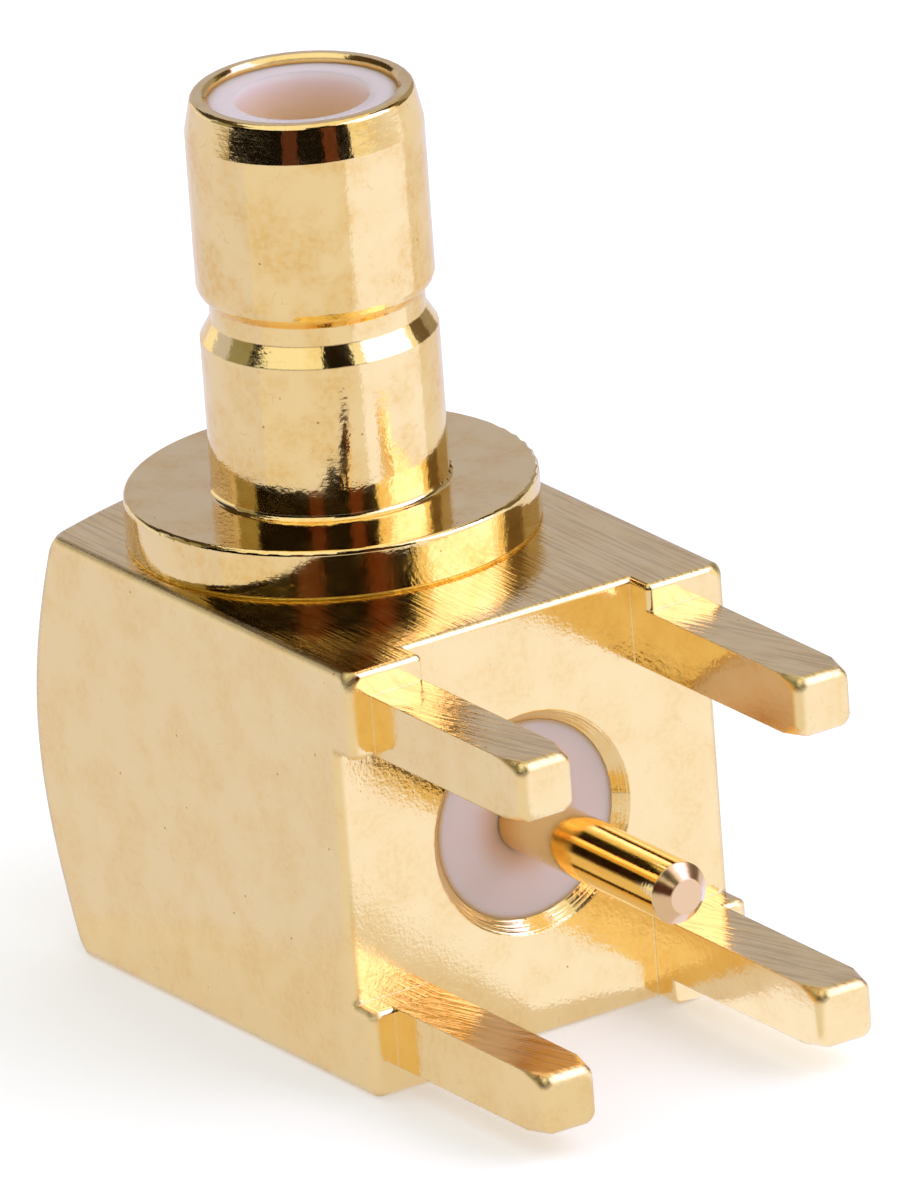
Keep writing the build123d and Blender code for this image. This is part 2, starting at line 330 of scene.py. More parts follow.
for name, (left, right, colour, strength) in FLOOR_CARDS.items():
    rims = [(reach * MM, floor_z / 2) for reach in FLOOR_CARD_REACH_MM]
    card(name, left, right, rims, card_material(name, colour, strength))
square = [Vector((x, y, 0)) * LAMP_SIZE / 2 for x, y in ((-1, -1), (1, -1), (1, 1), (-1, 1))]
face_corners = [lamp.location + lamp_turn @ corner for corner in square]
face_material = card_material("lamp_face", LAMP_FACE_COLOUR, LAMP_FACE_STRENGTH)
only_in_mirrors(mesh_object("lamp_face", face_corners, [(0, 1, 2, 3)], face_material))
print("cards on the floor:", len(FLOOR_CARDS), "lamp face at m:", [round(v, 3) for v in lamp.location])

# %% [markdown]
# The finishes below are patterns in space, and their coordinates are the CAD's own, turned into millimetres, so that
# each pattern's scale is a real size. Pictures wrapped on by a UV map could do it too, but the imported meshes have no
# map, and a pattern in space runs over an edge without a seam.
# Two nodes come back all the time, and their sockets are given by number. Map Range takes the value as 0, the range
# that it comes from as 1 and 2, and the range that it goes to as 3 and 4. Mix takes its share as 0, then two numbers
# as 2 and 3, two vectors as 4 and 5, or two colours as 6 and 7, and gives them out as 0, 1 or 2.

# %% Patterns that every finish shares
COLOUR_MIX = {"data_type": "RGBA"}
EASED = {"interpolation_type": "SMOOTHSTEP"}


def place_in_mm(tree):
    """The object's own coordinates in millimetres."""
    place = add(tree, "ShaderNodeTexCoord")
    in_mm = {0: place.outputs["Object"], "Scale": 1 / MM}
    return add(tree, "ShaderNodeVectorMath", in_mm, operation="SCALE").outputs[0]


def patches(tree, place, size_mm, detail, edges, levels=(0.0, 1.0)):
    """Soft patches about size_mm across: a noise that is eased between two edges, from one level to the other."""
    grains = add(tree, "ShaderNodeTexNoise", {"Vector": place, "Scale": 1 / size_mm, "Detail": detail}).outputs[0]
    limits = {0: grains, 1: edges[0], 2: edges[1], 3: levels[0], 4: levels[1]}
    return add(tree, "ShaderNodeMapRange", limits, **EASED).outputs[0]


def streaks(tree, place, along_mm, across_mm, turn=(0, 0, 0)):
    """Noise lines that are long in X after the turn and thin across it."""
    turned = add(tree, "ShaderNodeVectorRotate", {"Vector": place, "Rotation": turn}, rotation_type="EULER_XYZ")
    scale = (1 / along_mm, 1 / across_mm, 1 / across_mm)
    squeezed = add(tree, "ShaderNodeVectorMath", {0: turned.outputs[0], 1: scale}, operation="MULTIPLY")
    return add(tree, "ShaderNodeTexNoise", {"Vector": squeezed.outputs[0], "Scale": 1.0, "Detail": 2.0}).outputs[0]


print("one texture unit is", MM, "m")

# %% [markdown]
# Every metal piece here is brass under a few micrometres of hard gold. Gold takes little blue out of one reflection
# and a lot out of two, so corners that mirror each other turn amber by themselves: the colour must be a real gold's.
# The plate is never quite even. It has faint warm clouds with finer speckles in them, short hairlines from handling,
# and stray dark pits. One even colour with a high roughness would be quicker, but it looks like paint.

# %% Gold: the colour of the plate
GOLD = "#FFE197"
GOLD_WARM = "#F2C56C"
GOLD_PIT = "#A5813F"
HAIRLINE = "#E2B062"
CLOUD_MM = 0.75
CLOUD_EDGES = (0.38, 0.66)
SPECKLE_MM = 0.11
SPECKLE_EDGES = (0.40, 0.65)
SPECKLE_LEVELS = (0.45, 1.0)
PIT_SPACING_MM = 0.62
PIT_RADIUS_MM = 0.028
PIT_CORE = 0.4
PIT_DARKNESS = 0.8
NOISE_MIDDLE = 0.5
HAIRLINE_MM = 0.22
HAIRLINE_LENGTH_MM = 3 * HAIRLINE_MM
HAIRLINE_TURN = (0.4, 0.9, 0.6)
HAIRLINE_EDGES = (0.004, 0.030)
HAIRLINE_DARKNESS = 0.4
HAIRLINE_PATCH_MM = 1.1 * HAIRLINE_MM
HAIRLINE_PATCH_EDGES = (0.56, 0.72)


def hairlines(tree, place):
    """Short thin strokes: the places where a noise crosses its middle value, kept only here and there."""
    waves = streaks(tree, place, HAIRLINE_LENGTH_MM, HAIRLINE_MM, HAIRLINE_TURN)
    off_middle = add(tree, "ShaderNodeMath", {0: waves, 1: NOISE_MIDDLE}, operation="SUBTRACT").outputs[0]
    away = add(tree, "ShaderNodeMath", {0: off_middle}, operation="ABSOLUTE").outputs[0]
    limits = {0: away, 1: HAIRLINE_EDGES[0], 2: HAIRLINE_EDGES[1], 3: HAIRLINE_DARKNESS, 4: 0.0}
    lines = add(tree, "ShaderNodeMapRange", limits, **EASED).outputs[0]
    kept = patches(tree, place, HAIRLINE_PATCH_MM, detail=1.0, edges=HAIRLINE_PATCH_EDGES)
    return add(tree, "ShaderNodeMath", {0: lines, 1: kept}, operation="MULTIPLY").outputs[0]


def gold_colour(tree, place, cloudiness):
    """Pale gold with warm clouds, finer speckles inside them, hairlines, and a few dark pits."""
    clouds = patches(tree, place, CLOUD_MM, detail=5.0, edges=CLOUD_EDGES)
    speckles = patches(tree, place, SPECKLE_MM, detail=3.0, edges=SPECKLE_EDGES, levels=SPECKLE_LEVELS)
    warmth = add(tree, "ShaderNodeMath", {0: clouds, 1: speckles}, operation="MULTIPLY").outputs[0]
    warmth = add(tree, "ShaderNodeMath", {0: warmth, 1: cloudiness}, operation="MULTIPLY").outputs[0]
    plate = add(tree, "ShaderNodeMix", {0: warmth, 6: linear(GOLD), 7: linear(GOLD_WARM)}, **COLOUR_MIX)
    strokes = add(tree, "ShaderNodeMath", {0: hairlines(tree, place), 1: cloudiness}, operation="MULTIPLY").outputs[0]
    plate = add(tree, "ShaderNodeMix", {0: strokes, 6: plate.outputs[2], 7: linear(HAIRLINE)}, **COLOUR_MIX)
    cells = add(tree, "ShaderNodeTexVoronoi", {"Vector": place, "Scale": 1 / PIT_SPACING_MM})
    pit_edge = PIT_RADIUS_MM / PIT_SPACING_MM
    limits = {0: cells.outputs["Distance"], 1: PIT_CORE * pit_edge, 2: pit_edge, 3: PIT_DARKNESS, 4: 0.0}
    pits = add(tree, "ShaderNodeMapRange", limits, **EASED).outputs[0]
    return add(tree, "ShaderNodeMix", {0: pits, 6: plate.outputs[2], 7: linear(GOLD_PIT)}, **COLOUR_MIX).outputs[2]


print("sizes in mm: clouds", CLOUD_MM, "speckles", SPECKLE_MM, "hairlines", HAIRLINE_MM, "pits", PIT_RADIUS_MM)

# %% [markdown]
# Under the plate are the tool's marks, and over both lies a soft pebble like fine orange peel, which polishing
# leaves. Both could be displaced geometry, but they are a few micrometres deep, so bump is enough and costs nothing.
# Sharp CAD edges would look like cut paper: a Bevel node turns the normals over each edge, as if it were broken.

# %% Gold: marks, pebble and gloss
PEBBLE_MM = 0.10
SATIN_MM = 4 * PEBBLE_MM
SATIN_EDGES = (0.3, 0.7)
BEVEL_SAMPLES = 4


def gold_finish(name, marks_of, marks_depth_mm, pebble_depth_mm, cloudiness, roughness, edges_of):
    """Hard gold plate over tool marks. marks_of(tree, place) gives their height and how dark their grooves are,
    and edges_of(tree, place) the direction that the surface faces, with its edges rounded."""
    material, tree = empty_material(name)
    place = place_in_mm(tree)
    marks, grooves = marks_of(tree, place)
    plate = gold_colour(tree, place, cloudiness)
    colour = add(tree, "ShaderNodeMix", {0: grooves, 6: plate, 7: linear(GOLD_PIT)}, **COLOUR_MIX)
    pebble = add(tree, "ShaderNodeTexNoise", {"Vector": place, "Scale": 1 / PEBBLE_MM, "Detail": 2.0}).outputs[0]
    pebble_height = add(tree, "ShaderNodeMath", {0: pebble, 1: pebble_depth_mm}, operation="MULTIPLY").outputs[0]
    height = add(tree, "ShaderNodeMath", {0: marks, 1: marks_depth_mm, 2: pebble_height}, operation="MULTIPLY_ADD")
    bumps = {"Height": height.outputs[0], "Distance": MM, "Normal": edges_of(tree, place)}
    relief = add(tree, "ShaderNodeBump", bumps)
    satin = patches(tree, place, SATIN_MM, detail=3.0, edges=SATIN_EDGES, levels=roughness)
    metal = {"Base Color": colour.outputs[2], "Metallic": 1.0, "Roughness": satin, "Normal": relief.outputs["Normal"]}
    shader = add(tree, "ShaderNodeBsdfPrincipled", metal)
    add(tree, "ShaderNodeOutputMaterial", {"Surface": shader.outputs[0]})
    return material


def even_edges(radius_mm):
    """The same edge radius all over a piece, as a function of the kind that gold_finish takes."""
    edge = {"Radius": radius_mm * MM}
    return lambda tree, place: add(tree, "ShaderNodeBevel", edge, samples=BEVEL_SAMPLES).outputs["Normal"]


print("pebble in mm:", PEBBLE_MM)

# %% [markdown]
# Turning leaves rings. On a wall they change along the axis, and on a flat face they change with the radius, so
# noise that is read at (radius, height) gives both from one pattern. Blender's Wave texture has rings as well, but
# they are evenly spaced, and a lathe's are not. Real ones are finer and wouldn't show, so these are drawn coarser.

# %% Lathe rings
RING_MM = 0.05
PIN_HEIGHT_MM = 3.45


def ring_marks(tree, across_1, across_2, along):
    """Lathe rings: noise that changes with the distance from the axis and along it. Also gives that distance."""
    square = add(tree, "ShaderNodeMath", {0: across_1, 1: across_1}, operation="MULTIPLY")
    square = add(tree, "ShaderNodeMath", {0: across_2, 1: across_2, 2: square.outputs[0]}, operation="MULTIPLY_ADD")
    radius = add(tree, "ShaderNodeMath", {0: square.outputs[0]}, operation="SQRT").outputs[0]
    rings = add(tree, "ShaderNodeCombineXYZ", {0: radius, 1: along}).outputs[0]
    grains = {"Vector": rings, "Scale": 1 / RING_MM, "Detail": 2.0}
    return add(tree, "ShaderNodeTexNoise", grains).outputs[0], radius


def rings_round_pin(tree, place):
    """Rings round the board pin's axis, which is parallel to X."""
    split = add(tree, "ShaderNodeSeparateXYZ", {0: place})
    above = add(tree, "ShaderNodeMath", {0: split.outputs["Z"], 1: PIN_HEIGHT_MM}, operation="SUBTRACT")
    return ring_marks(tree, split.outputs["Y"], above.outputs[0], split.outputs["X"])


print("lathe rings in mm:", RING_MM)

# %% [markdown]
# The body starts as square bar, and drawing the bar leaves faint straight lines along it, which still show on its
# top through the plate. The legs and pads are what a milling cutter left standing, so their tops carry a fine
# slanting hatch instead. The bevelled mouth of the rear hole was turned, so it has rings. Three materials on three
# sets of faces could do this, but one noise, stretched along the tool's path and chosen by where the point is and
# which way the surface faces, needs no list of faces.

# %% Body: bar lines and cutter marks
PAD_FACE_MM = 5.54
PAD_FACE_BLEND_MM = 0.05
REAR_FACE_MM = 5.05
REAR_MOUTH_RADIUS_MM = 1.80
REAR_MOUTH_BLEND_MM = 0.02
REAR_MOUTH_DEPTH_MM = (0.04, 0.01)
BAR_LINE_MM = 0.06
MILL_LINE_MM = 0.075
BAR_LINE_LENGTH_MM = 30 * BAR_LINE_MM
MILL_LINE_LENGTH_MM = 15 * MILL_LINE_MM
MILL_TURN = (0, 0, math.radians(-18.0))
FACES_UP = (0.6, 0.9)
SIDE_DEPTH = 0.25
GROOVE_EDGES = (0.34, 0.56)
GROOVE_TONE = 0.32


def rear_mouth(tree, x, radius):
    """One inside the bevelled mouth of the rear hole, and zero everywhere else."""
    blend, (far, near) = REAR_MOUTH_BLEND_MM, REAR_MOUTH_DEPTH_MM
    reach = {0: radius, 1: REAR_MOUTH_RADIUS_MM - blend, 2: REAR_MOUTH_RADIUS_MM, 3: 1.0, 4: 0.0}
    in_reach = add(tree, "ShaderNodeMapRange", reach, **EASED).outputs[0]
    depth = {0: x, 1: REAR_FACE_MM - far, 2: REAR_FACE_MM - near, 3: 1.0, 4: 0.0}
    in_depth = add(tree, "ShaderNodeMapRange", depth, **EASED).outputs[0]
    return add(tree, "ShaderNodeMath", {0: in_depth, 1: in_reach}, operation="MULTIPLY").outputs[0]


def bar_and_mill_marks(tree, place):
    """Lines along the bar on the body's top, slanting hatch on the legs' tops, and rings in the rear hole's mouth."""
    x = add(tree, "ShaderNodeSeparateXYZ", {0: place}).outputs["X"]
    along = streaks(tree, place, BAR_LINE_LENGTH_MM, BAR_LINE_MM)
    hatch = streaks(tree, place, MILL_LINE_LENGTH_MM, MILL_LINE_MM, MILL_TURN)
    legs = {0: x, 1: PAD_FACE_MM - PAD_FACE_BLEND_MM, 2: PAD_FACE_MM + PAD_FACE_BLEND_MM}
    on_leg = add(tree, "ShaderNodeMapRange", legs, **EASED).outputs[0]
    lines = add(tree, "ShaderNodeMix", {0: on_leg, 2: along, 3: hatch}).outputs[0]

    faces = add(tree, "ShaderNodeTexCoord").outputs["Normal"]
    up = add(tree, "ShaderNodeSeparateXYZ", {0: faces}).outputs["Z"]
    tops = {0: up, 1: FACES_UP[0], 2: FACES_UP[1]}
    on_top = add(tree, "ShaderNodeMapRange", tops, **EASED).outputs[0]
    depth = add(tree, "ShaderNodeMapRange", {**tops, 3: SIDE_DEPTH}, **EASED).outputs[0]
    marks = add(tree, "ShaderNodeMath", {0: lines, 1: depth}, operation="MULTIPLY").outputs[0]
    limits = {0: lines, 1: GROOVE_EDGES[0], 2: GROOVE_EDGES[1], 3: GROOVE_TONE, 4: 0.0}
    grooves = add(tree, "ShaderNodeMapRange", limits, **EASED).outputs[0]
    grooves = add(tree, "ShaderNodeMath", {0: grooves, 1: on_top}, operation="MULTIPLY").outputs[0]

    rings, radius = rings_round_pin(tree, place)
    in_mouth = rear_mouth(tree, x, radius)
    return add(tree, "ShaderNodeMix", {0: in_mouth, 2: marks, 3: rings}).outputs[0], grooves


print("bar lines in mm:", BAR_LINE_MM, "cutter marks in mm:", MILL_LINE_MM)

# %% [markdown]
# Milled edges are barely broken. The bar's own long edges come rounder from the drawing die, and the tips of the
# legs look worn as well. A Bevel modifier would need one width for each edge and would change the CAD's mesh, so
# the radius of the Bevel node follows the place instead.

# %% Body: gold plate on drawn and milled brass
EDGE_BREAK_MM = 0.035
SIDE_EDGE_MM = 0.20
SIDE_EDGE_FROM_MM = 3.2
SIDE_EDGE_BLEND_MM = 0.15
TIP_BREAK_MM = 0.13
TIP_START_MM = 8.8
TIP_BLEND_MM = 0.4


def edges_as_worn(tree, place):
    """Normals turned over the edges, by a radius that grows at the tips of the legs and at the body's long sides."""
    split = add(tree, "ShaderNodeSeparateXYZ", {0: place})
    tips = {0: split.outputs["X"], 1: TIP_START_MM, 2: TIP_START_MM + TIP_BLEND_MM}
    at_tips = add(tree, "ShaderNodeMapRange", {**tips, 3: EDGE_BREAK_MM * MM, 4: TIP_BREAK_MM * MM}, **EASED)
    out = add(tree, "ShaderNodeMath", {0: split.outputs["Y"]}, operation="ABSOLUTE").outputs[0]
    sides = {0: out, 1: SIDE_EDGE_FROM_MM, 2: SIDE_EDGE_FROM_MM + SIDE_EDGE_BLEND_MM, 4: SIDE_EDGE_MM * MM}
    at_sides = add(tree, "ShaderNodeMapRange", sides, **EASED)
    largest = {0: at_tips.outputs[0], 1: at_sides.outputs[0]}
    radius = add(tree, "ShaderNodeMath", largest, operation="MAXIMUM").outputs[0]
    return add(tree, "ShaderNodeBevel", {"Radius": radius}, samples=BEVEL_SAMPLES).outputs["Normal"]


gold_on_bar = gold_finish(
    "gold_plate_on_drawn_and_milled_brass",
    bar_and_mill_marks,
    marks_depth_mm=0.009,
    pebble_depth_mm=0.003,
    cloudiness=0.40,
    roughness=(0.09, 0.16),
    edges_of=edges_as_worn,
)
print("made", gold_on_bar.name, "with edges of", EDGE_BREAK_MM, "to", SIDE_EDGE_MM, "mm")

# %% [markdown]
# The barrel and its flange are one turned piece. Light runs along the small rounds of such a piece as one clean line.
# The mesh there has only a few facets, which break the line into dashes. A finer mesh would mend that, but it is the
# CAD's and stays as it is. So the direction that a round faces is worked out from its height, because the sine of
# that direction's angle rises evenly with the height. Everywhere else the Bevel node does the work.

# %% Barrel: exact normals on its small rounds
RING_EDGE_MM = 0.03
FLANGE_FOOT_MM = 6.951
FLANGE_TOP_MM = 7.69
FLANGE_ROUND_MM = 0.08
ROOT_ROUND_MM = 0.09
ROOT_END_MM = FLANGE_TOP_MM + ROOT_ROUND_MM
LEAD_IN_MM = 13.477
LEAD_IN_RISE = 0.20
RIM_TOP_MM = 14.06
RIM_ROUND_MM = 0.10
RIM_BORE_MM = 1.56
ZONE_EDGE_MM = 0.001


def rise_of_rounds(tree, height):
    """The sine of the angle that the surface faces above level, from its height: at the foot, then at the rim."""
    edge_limits = {0: height, 1: FLANGE_TOP_MM - FLANGE_ROUND_MM, 2: FLANGE_TOP_MM}
    edge = add(tree, "ShaderNodeMapRange", edge_limits).outputs[0]
    root_limits = {0: height, 1: FLANGE_TOP_MM, 2: ROOT_END_MM, 3: 1.0, 4: 0.0}
    root = add(tree, "ShaderNodeMapRange", root_limits).outputs[0]
    foot = add(tree, "ShaderNodeMath", {0: edge, 1: root}, operation="MINIMUM").outputs[0]
    rim_start = RIM_TOP_MM - RIM_ROUND_MM * (1 - LEAD_IN_RISE)
    rim_limits = {0: height, 1: rim_start, 2: RIM_TOP_MM, 3: LEAD_IN_RISE, 4: 1.0}
    return foot, add(tree, "ShaderNodeMapRange", rim_limits).outputs[0]


def zone(tree, *borders):
    """One inside all borders. Each is a value, its edge, and the levels before and past that edge."""
    inside = []
    for value, edge, before, past in borders:
        limits = {0: value, 1: edge, 2: edge + ZONE_EDGE_MM, 3: before, 4: past}
        inside.append(add(tree, "ShaderNodeMapRange", limits).outputs[0])
    return add(tree, "ShaderNodeMath", dict(enumerate(inside)), operation="MULTIPLY").outputs[0]


def turned_rounds(tree, place):
    """Exact normals on the flange's edge, the barrel's root, its lead-in and its rim, and rounded edges elsewhere."""
    split = add(tree, "ShaderNodeSeparateXYZ", {0: place})
    height = split.outputs["Z"]
    level = add(tree, "ShaderNodeCombineXYZ", {0: split.outputs["X"], 1: split.outputs["Y"]}).outputs[0]
    radius = add(tree, "ShaderNodeVectorMath", {0: level}, operation="LENGTH").outputs["Value"]
    outward = add(tree, "ShaderNodeVectorMath", {0: level}, operation="NORMALIZE").outputs[0]

    foot, rim = rise_of_rounds(tree, height)
    at_rim = zone(tree, (height, LEAD_IN_MM, 0.0, 1.0), (radius, RIM_BORE_MM, 0.0, 1.0))
    at_foot = zone(tree, (height, FLANGE_FOOT_MM, 0.0, 1.0), (height, ROOT_END_MM, 1.0, 0.0))
    known = add(tree, "ShaderNodeMath", {0: at_rim, 1: at_foot}, operation="MAXIMUM").outputs[0]

    rise = add(tree, "ShaderNodeMix", {0: at_rim, 2: foot, 3: rim}).outputs[0]
    angle = add(tree, "ShaderNodeMath", {0: rise}, operation="ARCSINE").outputs[0]
    spread = add(tree, "ShaderNodeMath", {0: angle}, operation="COSINE").outputs[0]
    sideways = add(tree, "ShaderNodeVectorMath", {0: outward, "Scale": spread}, operation="SCALE").outputs[0]
    upward = add(tree, "ShaderNodeCombineXYZ", {2: rise}).outputs[0]
    facing = add(tree, "ShaderNodeVectorMath", {0: sideways, 1: upward}, operation="ADD").outputs[0]
    turn = {"vector_type": "NORMAL", "convert_from": "OBJECT", "convert_to": "WORLD"}
    exact = add(tree, "ShaderNodeVectorTransform", {0: facing}, **turn).outputs[0]
    edges = add(tree, "ShaderNodeBevel", {"Radius": RING_EDGE_MM * MM}, samples=BEVEL_SAMPLES).outputs["Normal"]
    return add(tree, "ShaderNodeMix", {0: known, 4: edges, 5: exact}, data_type="VECTOR").outputs[1]


print("rounds in mm: flange", FLANGE_ROUND_MM, "root", ROOT_ROUND_MM, "rim", RIM_ROUND_MM)

# %% [markdown]
# The turned pieces share the plate and differ in the tool. The barrel was only turned, and the board pin was
# polished as well, so its rings and its pebble are shallower and its gloss is higher. The cut end of the pin has
# thinner plate, rosier and a little duller. It could be a material of its own on the end's faces, but a mix by the
# place along the pin leaves the CAD's mesh alone.

# %% Barrel and pins: gold plate on turned brass
PIN_CUT_MM = 9.03
PIN_CUT_BLEND_MM = 0.02
CUT_GOLD = "#EEC68C"
CUT_ROUGHNESS = 0.2
PIN_EDGE_MM = 0.04


def barrel_marks(tree, place):
    """Rings round the barrel's axis, Z, with no dark grooves."""
    split = add(tree, "ShaderNodeSeparateXYZ", {0: place})
    return ring_marks(tree, split.outputs["X"], split.outputs["Y"], split.outputs["Z"])[0], 0.0


def pin_marks(tree, place):
    """Rings round the board pin's axis, with no dark grooves."""
    return rings_round_pin(tree, place)[0], 0.0


def rosy_cut_end(material):
    """Mixes the look of the cut end into a finished material, past the place where the pin is cut."""
    tree = material.node_tree
    shader = tree.nodes["Principled BSDF"]
    x = add(tree, "ShaderNodeSeparateXYZ", {0: place_in_mm(tree)}).outputs["X"]
    limits = {0: x, 1: PIN_CUT_MM, 2: PIN_CUT_MM + PIN_CUT_BLEND_MM}
    at_end = add(tree, "ShaderNodeMapRange", limits, **EASED).outputs[0]
    for socket, kind, at_tip in (("Base Color", COLOUR_MIX, linear(CUT_GOLD)), ("Roughness", {}, CUT_ROUGHNESS)):
        shank = shader.inputs[socket].links[0].from_socket
        a, b, mixed = (6, 7, 2) if kind else (2, 3, 0)
        mix = add(tree, "ShaderNodeMix", {0: at_end, a: shank, b: at_tip}, **kind)
        tree.links.new(mix.outputs[mixed], shader.inputs[socket])


gold_turned = gold_finish(
    "gold_plate_on_turned_brass",
    barrel_marks,
    marks_depth_mm=0.0006,
    pebble_depth_mm=0.0025,
    cloudiness=0.75,
    roughness=(0.07, 0.12),
    edges_of=turned_rounds,
)
gold_pin = gold_finish(
    "gold_plate_on_polished_pin",
    pin_marks,
    marks_depth_mm=0.0008,
    pebble_depth_mm=0.0008,
    cloudiness=0.3,
    roughness=(0.05, 0.09),
    edges_of=even_edges(PIN_EDGE_MM),
)
rosy_cut_end(gold_pin)
print("made", gold_turned.name, "and", gold_pin.name)

# %% [markdown]
# The insulators are turned PTFE, a waxy white plastic that lets light in. The gold round it sends warm light back
# through it, so it is lilac white in the middle of its face, amber in a thin line along the gold, and peach deep in
# the bore. Volume scattering would find those colours by itself, but slowly and with much noise. Subsurface
# scattering gives the wax, and that warm light is painted into the colour, mixed by the distance from the axis and
# the depth: a painted amber glow along the gold and painted light and shade in the bore. PTFE bends light less than
# other plastics do, with an IOR of 1.35 to 1.38, so its gloss is weak.

# %% Insulators: turned PTFE
PTFE_PAINTED_GOLD_GLOW = "#EDB56B"
PAINTED_GLOW_LINE_MM = 0.10
PAINTED_GLOW_SHARE = 0.85
PTFE_GRAIN_MM = 0.35
PTFE_GRAIN_EDGES = (0.35, 0.65)
PTFE_ROUGHNESS = (0.38, 0.5)
PTFE_WAVE_MM = 0.12
PTFE_WAVE_DEPTH_MM = 0.003
PTFE_IOR = 1.38
LIGHT_LET_IN = 0.85
SCATTER_RADII = (1.0, 0.95, 0.9)
SCATTER_MM = 0.45


def ptfe_finish(name, white, painted_colours, radius_and_painted_zones, outer_radius_mm, soft_edge_mm):
    """Waxy plastic with a painted amber glow along the gold. radius_and_painted_zones gives how far each painted
    colour reaches.
    """
    material, tree = empty_material(name)
    place = place_in_mm(tree)
    radius, painted_zones = radius_and_painted_zones(tree, place)
    # Painted glow: amber mixed into the colour in a thin line along the gold, for warm light that comes through.
    limits = {0: radius, 1: outer_radius_mm - PAINTED_GLOW_LINE_MM, 2: outer_radius_mm, 4: PAINTED_GLOW_SHARE}
    painted_gold_glow = add(tree, "ShaderNodeMapRange", limits, **EASED).outputs[0]
    colour = linear(white)
    for share, painted_tint in zip(painted_zones + (painted_gold_glow,), painted_colours + (PTFE_PAINTED_GOLD_GLOW,)):
        colour = add(tree, "ShaderNodeMix", {0: share, 6: colour, 7: linear(painted_tint)}, **COLOUR_MIX).outputs[2]
    grain = patches(tree, place, PTFE_GRAIN_MM, detail=3.0, edges=PTFE_GRAIN_EDGES, levels=PTFE_ROUGHNESS)
    waves = add(tree, "ShaderNodeTexNoise", {"Vector": place, "Scale": 1 / PTFE_WAVE_MM, "Detail": 3.0}).outputs[0]
    bumps = {"Height": waves, "Distance": PTFE_WAVE_DEPTH_MM * MM}
    if soft_edge_mm:
        edge = {"Radius": soft_edge_mm * MM}
        bumps["Normal"] = add(tree, "ShaderNodeBevel", edge, samples=BEVEL_SAMPLES).outputs["Normal"]
    wax = {
        "Base Color": colour,
        "Roughness": grain,
        "IOR": PTFE_IOR,
        "Subsurface Weight": LIGHT_LET_IN,
        "Subsurface Radius": SCATTER_RADII,
        "Subsurface Scale": SCATTER_MM * MM,
        "Normal": add(tree, "ShaderNodeBump", bumps).outputs["Normal"],
    }
    shader = add(tree, "ShaderNodeBsdfPrincipled", wax)
    add(tree, "ShaderNodeOutputMaterial", {"Surface": shader.outputs[0]})
    return material


print("scatter in mm:", SCATTER_MM)

# %% [markdown]
# Each insulator has its own zones of painted light and shade. In the barrel they are painted shade on the face
# round the bore's mouth, painted light on the wall just below it, and a painted peach glow in the depth of the bore.
# Round the board pin it is one faint warm ring of painted glow and shade, where the gold pin glows into the plastic.
# Painted vertex colours could hold them, but they would be only as fine as the mesh.

# %% Insulators: painted light and shade in the barrel and round the pin
PTFE_IN_BARREL = "#E2D5D6"
# Painted shade round the bore's mouth, painted light on the wall below it, and painted peach glow deep in the bore.
PTFE_PAINTED_MOUTH_SHADE = "#DACDCE"
PTFE_PAINTED_WALL_LIGHT = "#EADCDF"
PTFE_PAINTED_DEEP_GLOW = "#FFDDB8"
FRONT_RADIUS_MM = 1.48
BORE_RADIUS_MM = 1.055
PAINTED_MOUTH_SHADE_MM = 0.36
SOFT_MOUTH_MM = 0.26
RIM_FACE_MM = 13.93
PAINTED_WALL_LIGHT_STARTS_MM = (0.012, 0.002)
PAINTED_GLOW_DEPTH_MM = 0.75
PTFE_ROUND_PIN = "#E2CEC8"
# Painted warm glow and shade on the plastic round the pin, where it leaves the insulator.
PTFE_PAINTED_PIN_GLOW = "#DDA878"
REAR_RADIUS_MM = 1.59
PIN_RADIUS_MM = 0.49
PIN_GLOW_MM = 0.55
PIN_GLOW = 0.75


def in_barrel(tree, place):
    """The distance from the barrel's axis, then painted shade at the bore's mouth, painted light on the wall below it,
    and painted glow deep in the bore.
    """
    split = add(tree, "ShaderNodeSeparateXYZ", {0: place})
    level = add(tree, "ShaderNodeCombineXYZ", {0: split.outputs["X"], 1: split.outputs["Y"]})
    radius = add(tree, "ShaderNodeVectorMath", {0: level.outputs[0]}, operation="LENGTH").outputs["Value"]
    height = split.outputs["Z"]
    # Masks for the painted shade at the mouth, the painted light on the wall and the painted glow in the depth.
    limits = (
        {0: radius, 1: BORE_RADIUS_MM, 2: BORE_RADIUS_MM + PAINTED_MOUTH_SHADE_MM},
        {0: height, 1: RIM_FACE_MM - PAINTED_WALL_LIGHT_STARTS_MM[0], 2: RIM_FACE_MM - PAINTED_WALL_LIGHT_STARTS_MM[1]},
        {0: height, 1: RIM_FACE_MM - PAINTED_GLOW_DEPTH_MM, 2: RIM_FACE_MM},
    )
    falling = {3: 1.0, 4: 0.0}
    painted_zones = [add(tree, "ShaderNodeMapRange", {**limit, **falling}, **EASED).outputs[0] for limit in limits]
    return radius, tuple(painted_zones)


def round_pin(tree, place):
    """The distance from the board pin's axis, and a faint warm ring of painted glow and shade where the pin leaves the
    insulator.
    """
    split = add(tree, "ShaderNodeSeparateXYZ", {0: place})
    level = add(tree, "ShaderNodeCombineXYZ", {1: split.outputs["Y"], 2: split.outputs["Z"]})
    middle = {0: level.outputs[0], 1: (0, 0, PIN_HEIGHT_MM)}
    radius = add(tree, "ShaderNodeVectorMath", middle, operation="DISTANCE").outputs["Value"]
    ring = {0: radius, 1: PIN_RADIUS_MM, 2: PIN_RADIUS_MM + PIN_GLOW_MM, 3: PIN_GLOW, 4: 0.0}
    return radius, (add(tree, "ShaderNodeMapRange", ring, **EASED).outputs[0],)


